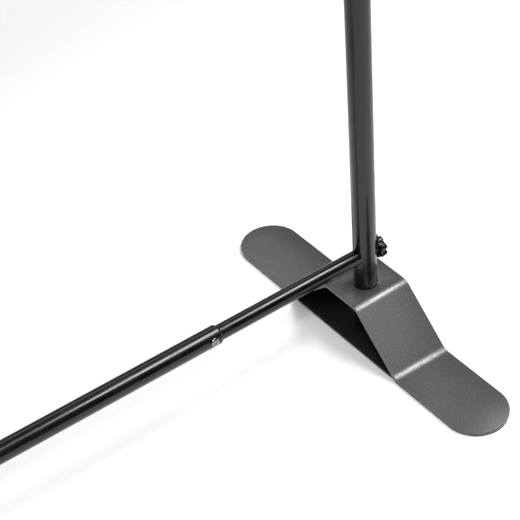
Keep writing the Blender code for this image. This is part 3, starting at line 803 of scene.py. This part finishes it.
@dataclass
class Foot(Sided):
    """The folded foot, the bridge plate across its hollow, its pads and its screw.

    Attributes:
        plate: The thickness of the folded plate.
        upper_fold: The radius of the upper folds, on the middle surface.
        lower_fold: The radius of the lower folds.
        plateau: The length between the upper folds.
        slope_run: How far each slope runs.
        hole_gap: The clearance round the column.
        edge: The rounding of the punched edges.
        pad_inset: How far the pads' edges lie inside the flanges' edges.
        screw_head: The height of the head of the screw under the foot.
        screw_shank: The radius of its shank.
    """

    plate: float = 4.5 * MM
    upper_fold: float = 14.0 * MM
    lower_fold: float = 20.0 * MM
    plateau: float = 59.7 * MM
    slope_run: float = 75.1 * MM
    hole_gap: float = 0.6 * MM
    edge: float = 0.5 * MM
    pad_inset: float = 0.4 * MM
    screw_head: float = 1.8 * MM
    screw_shank: float = 4 * MM

    @property
    def body(self) -> str:
        """The CAD body that the foot belongs to."""
        return f"{self.side.value}_base"

    def build(self) -> None:
        """Build and dress every piece of the foot."""
        self.build_plate()
        self.build_bridge()
        self.build_pads()
        self.build_screw()

    def build_plate(self) -> None:
        """Build the folded plate: a strip with round ends, and the hole that the column passes."""
        low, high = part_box(self.node("foot_plate"))
        centre = (low + high) / 2
        half_length, half_width = (high.y - low.y) / 2, (high.x - low.x) / 2
        floor, top = low.z + self.plate / 2, high.z - self.plate / 2
        bend, foot = self.plateau / 2, self.plateau / 2 + self.slope_run
        tip = half_length - half_width * (1 - cos(radians(3)))
        corners = [(-tip, floor), (-foot, floor), (-bend, top), (bend, top), (foot, floor), (tip, floor)]
        arc_centre = half_length - half_width
        arc = [arc_centre + half_width * cos(radians(a)) for a in range(6, 91, 4)]
        stations = arc + [-a for a in arc]

        def half_width_at(point: Point) -> float:
            """Give the strip's half width, which shrinks round each end."""
            past = max(abs(point[0]) - arc_centre, 0.0)
            return sqrt(half_width**2 - past**2)

        folds = (self.lower_fold, self.upper_fold, self.upper_fold, self.lower_fold)
        path = with_stations(rounded_path(corners, folds), stations)
        shape = folded_strip(path, half_width_at, self.plate)
        column = extent(self.node("column")).x / 2
        hole = stood(rod(column + self.hole_gap, top), Vector((0, 0, top / 2)))
        shape = soften(combined(shape, [hole]), self.edge, 3, 60)
        stood(shape, Vector((centre.x, centre.y, 0)))
        finish_piece(shape, self.node("folded_foot"), GRAPHITE, self.body, [self.node("foot_plate")])

    def build_bridge(self) -> None:
        """Build the plate between the flanges, which closes the foot's hollow at the floor. Its near-black satin
        coat stands in for the deep shade under the foot, as painted shade.
        """
        name = self.node("foot_bridge")
        shape = soften(block(extent(name), middle(name)), 0.4 * MM, 2)
        # The plate's black coat is painted shade: it fills the foot's hollow with the dark of the shade under it.
        finish_piece(shape, self.node("bridge_plate_painted_shade"), SATIN, self.body, [name])

    def build_pads(self) -> None:
        """Build the rubber pads under the flanges, cut to the flanges' outline."""
        outline = extent(self.node("foot_plate"))
        radius, reach = outline.x / 2 - self.pad_inset, outline.y / 2 - self.pad_inset
        for end, turn in (("front", pi), ("back", 0.0)):
            name = self.node(f"foot_pad_{end}")
            low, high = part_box(name)
            start = min(abs(low.y), abs(high.y))
            shape = bmesh.new()
            bmesh.ops.create_circle(shape, cap_ends=True, radius=radius, segments=TUBE_STEPS)
            for corner in shape.verts:
                corner.co.y = corner.co.y + reach - radius if corner.co.y > -MERGE else start
            square = [v for v in shape.verts if abs(v.co.y - start) < MERGE]
            for corner in square:
                corner.co.x = radius if corner.co.x > 0 else -radius
            bmesh.ops.remove_doubles(shape, verts=shape.verts, dist=MERGE)
            grown(shape, Vector((0, 0, high.z - low.z)))
            soften(shape, 0.25 * MM, 2)
            stood(shape, Vector(((low.x + high.x) / 2, 0, low.z)), turn=turn)
            finish_piece(shape, self.node(f"rubber_pad_{end}"), RUBBER, self.body, [name])

    def build_screw(self) -> None:
        """Build the socket-head screw that holds the column from below."""
        name = self.node("base_screw")
        size, head, shank = extent(name), self.screw_head, self.screw_shank
        screw = Screw(size.x / 2, head, shank, size.z - head, Drive.HEXAGON)
        shape = stood(screw.shape(), foot_of(name) + UP * head, -UP)
        finish_piece(shape, self.node("socket_screw"), ZINC, self.body, [name])


@dataclass
class Column(Sided):
    """One column: the lower tube, the riser in it, and the collar that clamps the riser.

    Attributes:
        wall: The wall of both tubes.
        boss_radius: The radius of the collar's boss.
        chamfer: The chamfer at the collar's ends.
        groove: The depth of its grooves, and half their width.
        grooves: Their heights, as shares of its height.
    """

    wall: float = 1.5 * MM
    boss_radius: float = 7.5 * MM
    chamfer: float = 3 * MM
    groove: float = 0.7 * MM
    grooves: tuple[float, ...] = (0.40, 0.34, 0.28, 0.22)

    def build(self) -> None:
        """Build and dress every piece of the column."""
        self.build_tube("column", "lower_tube", "base")
        self.build_tube("riser", "riser_tube", "riser")
        self.build_collar()
        for name, finish in (("column_plug", ZINC), ("riser_glide", POLYAMIDE)):
            dress(self.node(name), finish)
        build_knob(self.side, "height")

    def build_tube(self, node: str, name: str, body: str) -> None:
        """Build an upright tube."""
        size = extent(self.node(node))
        shape = stood(Tube(size.x / 2, self.wall, size.z).shape(), foot_of(self.node(node)))
        finish_piece(shape, self.node(name), ENAMEL, f"{self.side.value}_{body}", [self.node(node)])

    def build_collar(self) -> None:
        """Build the moulded collar: a ribbed sleeve, its boss and the bore through both."""
        name = self.node("height_collar")
        low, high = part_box(name)
        radius = (high.y - low.y) / 2
        column, riser = extent(self.node("column")).x / 2, extent(self.node("riser")).x / 2
        height, chamfer, groove = high.z - low.z, self.chamfer, self.groove
        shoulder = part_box(self.node("column"))[1].z - low.z + GAP
        profile = [(radius - chamfer, height), (radius, height - chamfer)]
        for level in (height * share for share in self.grooves):
            profile += [(radius, level + groove), (radius - groove, level), (radius, level - groove)]
        profile += [(radius, chamfer), (radius - chamfer, 0), (column + GAP, 0), (column + GAP, shoulder)]
        profile += [(riser + GAP, shoulder), (riser + GAP, height)]
        shape = turned(profile)
        outward = self.side.outward
        reach = (high.x - low.x) - radius
        knob_height = joint(f"{self.side.value}_height_knob_turn")["pos_m"][2] - low.z
        inside = (radius + riser) / 2
        boss = soften(rod(self.boss_radius, reach - inside, SMALL_STEPS), 0.8 * MM)
        stood(boss, outward * inside + UP * knob_height, outward)
        drill = stood(rod(STUD_HOLE, reach, SMALL_STEPS), outward * riser / 2 + UP * knob_height, outward)
        shape = combined(combined(shape, [boss], "UNION"), [drill])
        axis = middle(self.node("riser"))
        stood(shape, Vector((axis.x, axis.y, low.z)))
        finish_piece(shape, self.node("collar"), POLYAMIDE, f"{self.side.value}_base", [name])


@dataclass
class Crossbar:
    """The telescopic crossbar, with the knobs that pull its rods against the columns.

    Attributes:
        rod_wall: The wall of the rods.
        spacer_bore: The radius of the hole in the spacers.
        near: How close to a spacer's inner end its points belong to the saddle.
    """

    rod_wall: float = 1.5 * MM
    spacer_bore: float = 4.3 * MM
    near: float = 0.35 * MM

    def build(self) -> None:
        """Build and dress every piece of the crossbar."""
        build_sleeve("crossbar_sleeve", "sleeve_screw", "crossbar_middle", 0.0)
        for side in Side:
            self.build_rod(side)
            self.build_spacer(side)
            dress(f"rod_insert_{side.value}", ZINC)
            build_knob(side, "crossbar")

    def build_rod(self, side: Side) -> None:
        """Build a rod whose outer end is coped to the column."""
        name = f"crossbar_rod_{side.value}"
        size = extent(name)
        column = extent(f"column_{side.value}").x / 2
        tube = Tube(size.z / 2, self.rod_wall, size.x, 0.2 * MM)
        shape = stood(tube.shape(), inner_end(name, side), side.outward)
        cope(shape, middle(f"column_{side.value}"), side.outward, column + GAP, column + 1 * MM)
        finish_piece(shape, f"thin_tube_{side.value}", ENAMEL, f"{side.value}_base", [name])

    def build_spacer(self, side: Side) -> None:
        """Build the saddle washer between a column and its knob."""
        name = f"knob_spacer_{side.value}"
        size, start = extent(name), inner_end(name, side)
        axis = middle(f"column_{side.value}")
        keep = extent(f"column_{side.value}").x / 2 + GAP
        shape = Tube(size.y / 2, size.y / 2 - self.spacer_bore, size.x, 0.2 * MM).shape()
        bmesh.ops.subdivide_edges(shape, edges=shape.edges, cuts=1)
        stood(shape, start, side.outward)
        for corner in [v for v in shape.verts if abs(v.co.x - start.x) < self.near]:
            corner.co.x = axis.x + side.outward.x * sqrt(keep**2 - (corner.co.y - axis.y) ** 2)
        finish_piece(shape, f"saddle_washer_{side.value}", POLYAMIDE, f"{side.value}_base", [name])


@dataclass
class Head(Sided):
    """The die-cast clamp on top of a riser, which holds the rail.

    Attributes:
        barrel_length: The length of the clamp's barrel.
        barrel_radius: Its radius.
        stem_radius: The radius of the socket's wall.
        boss_radius: The radius of the knob's boss.
        grain: The size of the cells that blend the shapes together.
    """

    barrel_length: float = 36 * MM
    barrel_radius: float = 16.5 * MM
    stem_radius: float = 15.7 * MM
    boss_radius: float = 7.5 * MM
    grain: float = 0.9 * MM

    def build(self) -> None:
        """Build and dress the clamp and its knob."""
        side = self.side.value
        name = f"head_clamp_{side}"
        low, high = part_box(name)
        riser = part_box(f"riser_{side}")
        rail = Vector(joint("tilt")["pos_m"])
        axis = Vector((middle(f"riser_{side}").x, rail.y, rail.z))
        outward = self.side.outward
        bottom = Vector((axis.x, axis.y, low.z))
        stem = stood(rod(self.stem_radius, riser[1].z - low.z + 2 * MM), bottom)
        start = axis - outward * self.barrel_length / 2
        barrel = stood(rod(self.barrel_radius, self.barrel_length), start, outward)
        boss = stood(rod(self.boss_radius, high.y), axis, BACKWARD)
        shape = self.blended(combined(stem, [barrel, boss], "UNION"))
        riser_radius = (riser[1].x - riser[0].x) / 2
        rail_radius = extent(f"rail_rod_{side}").y / 2
        depth = riser[1].z + GAP - low.z + OVERCUT
        socket = stood(rod(riser_radius + GAP, depth), bottom - UP * OVERCUT)
        bore = rod(rail_radius + GAP, self.barrel_length + 2 * OVERCUT)
        stood(bore, start - outward * OVERCUT, outward)
        drill = stood(rod(STUD_HOLE, high.y + OVERCUT, SMALL_STEPS), axis, BACKWARD)
        shape = combined(shape, [socket, bore, drill])
        finish_piece(shape, f"rail_clamp_{side}", SATIN, f"{side}_riser", [name])
        build_knob(self.side, "tilt")

    def blended(self, shape: Shape) -> Shape:
        """Blend joined shapes into one skin with soft inner corners, as a casting has."""
        item = as_object(shape, "casting")
        remesh = item.modifiers.new("Remesh", "REMESH")
        remesh.mode = "VOXEL"
        remesh.voxel_size = self.grain
        smooth = item.modifiers.new("Smooth", "SMOOTH")
        smooth.factor = 0.5
        smooth.iterations = 6
        return evaluated(item)


@dataclass
class Rail:
    """The rail that the desk tilts about: two rods, their sleeve, its screws and the end caps.

    Attributes:
        rod_wall: The wall of the rods.
        crown: The height of the end caps' domes.
    """

    rod_wall: float = 1.5 * MM
    crown: float = 4 * MM

    def build(self) -> None:
        """Build and dress every piece of the rail."""
        build_sleeve("rail_sleeve", "rail_screw", "desk", Desk.tilt())
        for side in Side:
            self.build_rod(side)
            self.build_cap(side)

    def build_rod(self, side: Side) -> None:
        """Build a rod of the rail."""
        name = f"rail_rod_{side.value}"
        tube = Tube(extent(name).z / 2, self.rod_wall, extent(name).x)
        shape = stood(tube.shape(), inner_end(name, side), side.outward)
        finish_piece(shape, f"rail_tube_{side.value}", ENAMEL, f"{side.value}_rail", [name])

    def build_cap(self, side: Side) -> None:
        """Build the plug in a rod's outer end, with a domed face."""
        name = f"rail_cap_{side.value}"
        radius, length = extent(name).z / 2, extent(name).x
        bore, edge = radius - self.rod_wall - GAP, length - self.crown
        dome = [(radius * cos(a), edge + self.crown * sin(a)) for a in (k * pi / 24 for k in range(12))]
        profile = [(0, 0), (bore, 0), (bore, edge), *dome, (0, length)]
        shape = stood(turned(profile, closed=False), inner_end(name, side), side.outward)
        finish_piece(shape, f"end_cap_{side.value}", POLYAMIDE, f"{side.value}_rail", [name])


@dataclass
class Desk:
    """The folded desk, its liner, and the channel and brackets that carry it on the rail.

    Attributes:
        sheet: The thickness of the sheet.
        above: How far the desk reaches above the rail, along its slope.
        below: How far it reaches below.
        back: From the rail's axis to the back of the sheet.
        hem: The depth of the top hem.
        ledge: The depth of the ledge.
        lip: The height of the lip in front of it.
        lip_corner: The radius of the lip's upper corners.
        corner: The radius of the upper corners.
        fold_radius: The fold radius of the sheet's middle surface.
        channel_depth: The depth of the channel behind it.
        channel_height: Its height.
        bracket_radius: The radius of the brackets.
        liner: The thickness of the liner.
        margin: How far the liner stays inside the ledge.
        ribs: How many ribs the liner has.
    """

    sheet: float = 1.5 * MM
    above: float = 204.9 * MM
    below: float = 125 * MM
    back: float = 34 * MM
    hem: float = 12 * MM
    ledge: float = 58 * MM
    lip: float = 15 * MM
    lip_corner: float = 6 * MM
    corner: float = 20 * MM
    fold_radius: float = 4 * MM
    channel_depth: float = 11 * MM
    channel_height: float = 40 * MM
    bracket_radius: float = 17 * MM
    liner: float = 1.2 * MM
    margin: float = 7 * MM
    ribs: int = 13

    @staticmethod
    def tilt() -> float:
        """Give the desk's lean back from upright at rest, which the record's ledge mount points along."""
        ledge = next(m for m in frame["record"]["mounts"] if m["name"] == "music_ledge")
        return atan2(ledge["axis"][1], ledge["axis"][2])

    @property
    def middle_surface(self) -> float:
        """Where the sheet's middle surface lies, in the desk's own frame."""
        return -(self.back + self.sheet / 2)

    def leaned(self, shape: Shape) -> Shape:
        """Move a shape from the desk's own frame, whose origin is on the rail, to its place at rest."""
        rail = joint("tilt")["pos_m"]
        lean = Matrix.Translation((0, rail[1], rail[2])) @ Matrix.Rotation(-self.tilt(), 4, "X")
        bmesh.ops.transform(shape, matrix=lean, verts=shape.verts)
        return shape

    def build(self) -> None:
        """Build and dress every piece of the desk."""
        self.build_panel()
        self.build_liner()
        self.build_channel()
        for side in Side:
            self.build_bracket(side)
            for end in ("upper", "lower"):
                dress(f"bracket_screw_{end}_{side.value}", ZINC)

    def build_panel(self) -> None:
        """Build the panel with its top hem, its ledge and its lip, all from one sheet."""
        half = extent("desk_panel").x / 2
        top, bottom = self.above - self.sheet / 2, -self.below + self.sheet / 2
        front = self.middle_surface - self.ledge
        lip_top = bottom + self.lip
        corners = [
            (self.middle_surface + self.hem, top),
            (self.middle_surface, top),
            (self.middle_surface, bottom),
            (front, bottom),
            (front, lip_top),
        ]
        bends = rounded_path(corners, [self.fold_radius] * 3)
        upright = [(z, y) for y, z in bends]
        upper = [self.above - self.corner * (1 - sin(radians(a))) for a in range(0, 80, 8)]
        round_lip = self.lip_corner
        lower = [lip_top - round_lip * (1 - sin(radians(a))) for a in range(0, 90, 15)]
        path = [(y, z) for z, y in with_stations(upright, upper + lower)]

        def half_width_at(point: Point) -> float:
            """Give the panel's half width, which shrinks round the upper corners and the lip's ends."""
            y, z = point
            if y < front + self.sheet:
                past = max(z - (lip_top - round_lip), 0.0)
                return half - round_lip + sqrt(max(round_lip**2 - past**2, 0.0))
            past = max(z - (self.above - self.corner), 0.0)
            return half - self.corner + sqrt(max(self.corner**2 - past**2, 0.0))

        shape = soften(folded_strip(path, half_width_at, self.sheet), 0.35 * MM, 2, 60)
        finish_piece(self.leaned(shape), "folded_desk", GRAPHITE, "desk", ["desk_panel"])

    def build_liner(self) -> None:
        """Build the ribbed rubber liner on the ledge."""
        half = extent("desk_panel").x / 2 - self.margin
        depth = self.ledge - 2 * self.margin
        floor = -self.below + self.sheet + GAP
        pitch = depth / self.ribs
        start = self.middle_surface - self.ledge + self.margin
        shape = bmesh.new()
        path = [(start, floor)]
        for k in range(self.ribs):
            crest, root = floor + self.liner, floor + self.liner * 0.55
            path += [(start + (k + 0.10) * pitch, root), (start + (k + 0.35) * pitch, crest)]
            path += [(start + (k + 0.65) * pitch, crest), (start + (k + 0.90) * pitch, root)]
        path.append((start + depth, floor))
        shape.faces.new([shape.verts.new((-half, y, z)) for y, z in path])
        grown(shape, RIGHTWARD * 2 * half)
        finish_piece(self.leaned(shape), "ribbed_liner", RUBBER, "desk", ["ledge_liner"])

    def build_channel(self) -> None:
        """Build the folded channel behind the panel."""
        leg = -self.back + GAP
        web = -self.back + self.channel_depth - self.sheet / 2
        half = self.channel_height / 2
        corners = [(leg, half), (web, half), (web, -half), (leg, -half)]
        path = rounded_path(corners, [self.fold_radius / 2] * 2)
        half_length = extent("desk_channel").x / 2
        shape = soften(folded_strip(path, lambda point: half_length, self.sheet), 0.3 * MM, 2, 60)
        finish_piece(self.leaned(shape), "stiffening_channel", GRAPHITE, "desk", ["desk_channel"])

    def build_bracket(self, side: Side) -> None:
        """Build a clamp block round the rail's sleeve, rounded at the back and flat at the channel."""
        name = f"desk_bracket_{side.value}"
        low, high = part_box(name)
        width, radius = high.x - low.x, self.bracket_radius
        face = self.back - self.channel_depth - GAP
        barrel = stood(rod(radius, width), Vector((low.x, 0, 0)), RIGHTWARD)
        size = Vector((width, face, 2 * radius))
        foot = block(size, Vector(((low.x + high.x) / 2, -face / 2, 0)))
        shape = combined(barrel, [foot], "UNION")
        bore = rod(SLEEVE_RADIUS + GAP, width + 2 * OVERCUT)
        stood(bore, Vector((low.x - OVERCUT, 0, 0)), RIGHTWARD)
        shape = soften(combined(shape, [bore]), 0.8 * MM, 3, 60)
        finish_piece(self.leaned(shape), f"rail_bracket_{side.value}", SATIN, "desk", [name])


def dress(node: str, finish: Finish) -> None:
    """Give a CAD node that keeps its own shape a finish."""
    mesh = frame["nodes"][node].data
    mesh.materials.clear()
    mesh.materials.append(finish.material())
    LOG.info("%s: its own shape, %s", node, finish.name)


def build_knob(side: Side, which: str) -> None:
    """Build a star knob in place of a CAD knob, and dress its stud.

    Args:
        side: Which half of the stand it is on.
        which: "crossbar", "height" or "tilt".
    """
    name = f"{which}_knob_{side.value}"
    axis = Vector(joint(f"{side.value}_{which}_knob_turn")["axis"])
    size = extent(name)
    depth, place = abs(size.dot(axis)), middle(name)
    shape = StarKnob(max(size) / 2, depth).shape()
    stood(shape, place - axis * depth / 2, axis, KNOB_TURN)
    body = f"{side.value}_{which}_knob"
    finish_piece(shape, f"star_knob_{which}_{side.value}", POLYAMIDE, body, [name], 50)
    dress(f"{which}_stud_{side.value}", ZINC)


def build_sleeve(node: str, screw_node: str, body: str, lean: float) -> None:
    """Build a sleeve over two rods, and the two screws in it, a little above its front.

    Args:
        node: The sleeve's CAD node.
        screw_node: The name that its screws' CAD nodes start with.
        body: The body that all of them move with.
        lean: How far the sleeve is turned back about its axis.
    """
    tube = Tube(SLEEVE_RADIUS, SLEEVE_RADIUS - SLEEVE_BORE, extent(node).x, SLEEVE_RIM, SLEEVE_CHAMFER)
    shape = stood(tube.shape(), inner_end(node, Side.RIGHT), RIGHTWARD)
    finish_piece(shape, f"{node}_tube", ENAMEL, body, [node])
    axis = middle(node)
    aside = Matrix.Rotation(-lean, 3, "X") @ Vector((0, -cos(SCREW_LIFT), sin(SCREW_LIFT)))
    for side in Side:
        name = f"{screw_node}_{side.value}"
        place = Vector((middle(name).x, axis.y, axis.z)) + aside * (SLEEVE_RADIUS + GAP)
        shape = stood(PAN_HEAD.shape(), place, aside, SCREW_TURN)
        finish_piece(shape, f"pan_head_{name}", ZINC, body, [name])


# --- studio ------------------------------------------------------------------------------------
def direction(azimuth: float, elevation: float) -> Vector:
    """Give the direction of a light or a camera from the stand.

    Args:
        azimuth: Degrees round the stand. Zero is in front of it, and 90 is on its right.
        elevation: Degrees above the horizon.

    Returns:
        A unit vector.
    """
    a, e = radians(azimuth), radians(elevation)
    return Vector((sin(a) * cos(e), -cos(a) * cos(e), sin(e)))


@dataclass(frozen=True)
class Softbox:
    """A rectangular soft light that faces the foot of the stand.

    Attributes:
        name: What it is called.
        azimuth: Its direction round the stand, in degrees.
        elevation: Its angle above the horizon, in degrees.
        distance: How far away it hangs.
        size: Its width and height.
        power: Its power in watts.
        roll: How far it is turned about its own axis, in degrees.
    """

    name: str
    azimuth: float
    elevation: float
    distance: float
    size: Point
    power: float
    roll: float = 0.0

    def hang(self, aim: Vector) -> None:
        """Hang the light so that it faces a point."""
        data = bpy.data.lights.new(self.name, "AREA")
        data.shape = "RECTANGLE"
        data.size, data.size_y = self.size
        data.energy = self.power
        light = bpy.data.objects.new(self.name, data)
        towards = direction(self.azimuth, self.elevation)
        light.location = aim + towards * self.distance
        turn = Matrix.Rotation(radians(self.roll), 3, "Z")
        light.rotation_euler = ((-towards).to_track_quat("-Z", "Y").to_matrix() @ turn).to_euler()
        bpy.context.scene.collection.objects.link(light)


SOFTBOXES = (
    Softbox("overhead_box", 69.0, 61.0, 4.0, (2.4, 0.8), 132.0, -26.0),
    Softbox("wide_box", 64.0, 62.0, 4.2, (2.8, 2.8), 62.0),
    Softbox("front_box", -33.0, 48.0, 4.2, (1.3, 1.3), 150.0),
    Softbox("right_box", 92.0, 42.0, 4.4, (2.4, 1.8), 24.0),
    Softbox("rear_box", 168.0, 42.0, 4.4, (3.6, 2.4), 34.0),
    Softbox("back_box", 208.0, 15.0, 4.4, (3.2, 1.4), 34.0),
)


@dataclass
class Studio:
    """A pale floor, soft lights and the camera.

    Attributes:
        azimuth: The camera's direction round the stand, in degrees; zero looks along +Y.
        elevation: Its angle above the horizon, in degrees.
        roll: Its tilt about its own axis, in degrees.
        distance: From the camera to the point that it looks at.
        lens: Its focal length in millimetres, on a 36 mm sensor.
        target_offset: From the right-hand column's axis, at the floor, to the point that it looks at.
        floor_half: Half the width of the floor.
    """

    azimuth: float = -33.518
    elevation: float = 40.067
    roll: float = -4.856
    distance: float = 1.9
    lens: float = 111.13
    target_offset: tuple[float, float, float] = (-0.1533, 0.0060, 0.1914)
    floor_half: float = 6.0

    def build(self) -> None:
        """Build the floor, the lights and the camera."""
        self.build_floor()
        self.build_lights()
        self.build_world()
        self.build_camera()
        bpy.context.scene.view_settings.view_transform = "Standard"

    def target(self) -> Vector:
        """Give the point that the camera looks at, beside the right-hand column."""
        return Vector((middle("column_right").x, 0, 0)) + Vector(self.target_offset)

    def build_floor(self) -> None:
        """Build the pale floor."""
        shape = bmesh.new()
        bmesh.ops.create_grid(shape, x_segments=1, y_segments=1, size=self.floor_half)
        floor = as_object(shape, "floor")
        material = bpy.data.materials.new("pale_paper")
        material.use_nodes = True
        tree = material.node_tree
        tree.nodes.clear()
        place = add_node(tree, "ShaderNodeTexCoord", {}).outputs["Object"]
        shade = add_node(tree, "ShaderNodeTexNoise", {"Vector": place, "Scale": 3.0, "Detail": 2.0})
        ramp = add_node(tree, "ShaderNodeValToRGB", {"Fac": shade.outputs["Fac"]})
        ramp.color_ramp.elements[0].color = linear("e4e4e4")
        ramp.color_ramp.elements[1].color = linear("e8e8e8")
        surface = add_node(
            tree, "ShaderNodeBsdfPrincipled", {"Base Color": ramp.outputs["Color"], "Roughness": 0.9}
        )
        add_node(tree, "ShaderNodeOutputMaterial", {"Surface": surface.outputs[0]})
        floor.data.materials.append(material)

    def build_lights(self) -> None:
        """Hang every soft box."""
        for softbox in SOFTBOXES:
            softbox.hang(self.target())

    def build_world(self) -> None:
        """Fill the room with a weak even light, and show it pale behind the stand."""
        world = bpy.data.worlds.new("room")
        bpy.context.scene.world = world
        world.use_nodes = True
        tree = world.node_tree
        tree.nodes.clear()
        dim = add_node(tree, "ShaderNodeBackground", {"Color": linear("ffffff"), "Strength": 0.02})
        pale = add_node(tree, "ShaderNodeBackground", {"Color": linear("f7f7f7"), "Strength": 1.0})
        seen = add_node(tree, "ShaderNodeLightPath", {}).outputs["Is Camera Ray"]
        mix = add_node(tree, "ShaderNodeMixShader", {0: seen, 1: dim.outputs[0], 2: pale.outputs[0]})
        add_node(tree, "ShaderNodeOutputWorld", {"Surface": mix.outputs[0]})

    def build_camera(self) -> None:
        """Set up the camera."""
        azimuth, roll = radians(self.azimuth), radians(self.roll)
        back = direction(self.azimuth, self.elevation)
        level = Vector((cos(azimuth), sin(azimuth), 0))
        right = level * cos(roll) + back.cross(level) * sin(roll)
        above = back.cross(right)
        data = bpy.data.cameras.new("camera")
        data.lens = self.lens
        data.sensor_width = 36
        data.clip_end = 50
        camera = bpy.data.objects.new("camera", data)
        turn = Matrix((right, above, back)).transposed().to_4x4()
        camera.matrix_world = Matrix.Translation(self.target() + back * self.distance) @ turn
        bpy.context.scene.collection.objects.link(camera)
        bpy.context.scene.camera = camera


def main() -> None:
    """Build the stand's sub-assemblies in order, then the studio."""
    logging.basicConfig(level=logging.INFO, format="%(message)s")
    for side in Side:
        Foot(side).build()
        Column(side).build()
        Head(side).build()
    Crossbar().build()
    Rail().build()
    Desk().build()
    Studio().build()


if __name__ == "__main__":
    main()
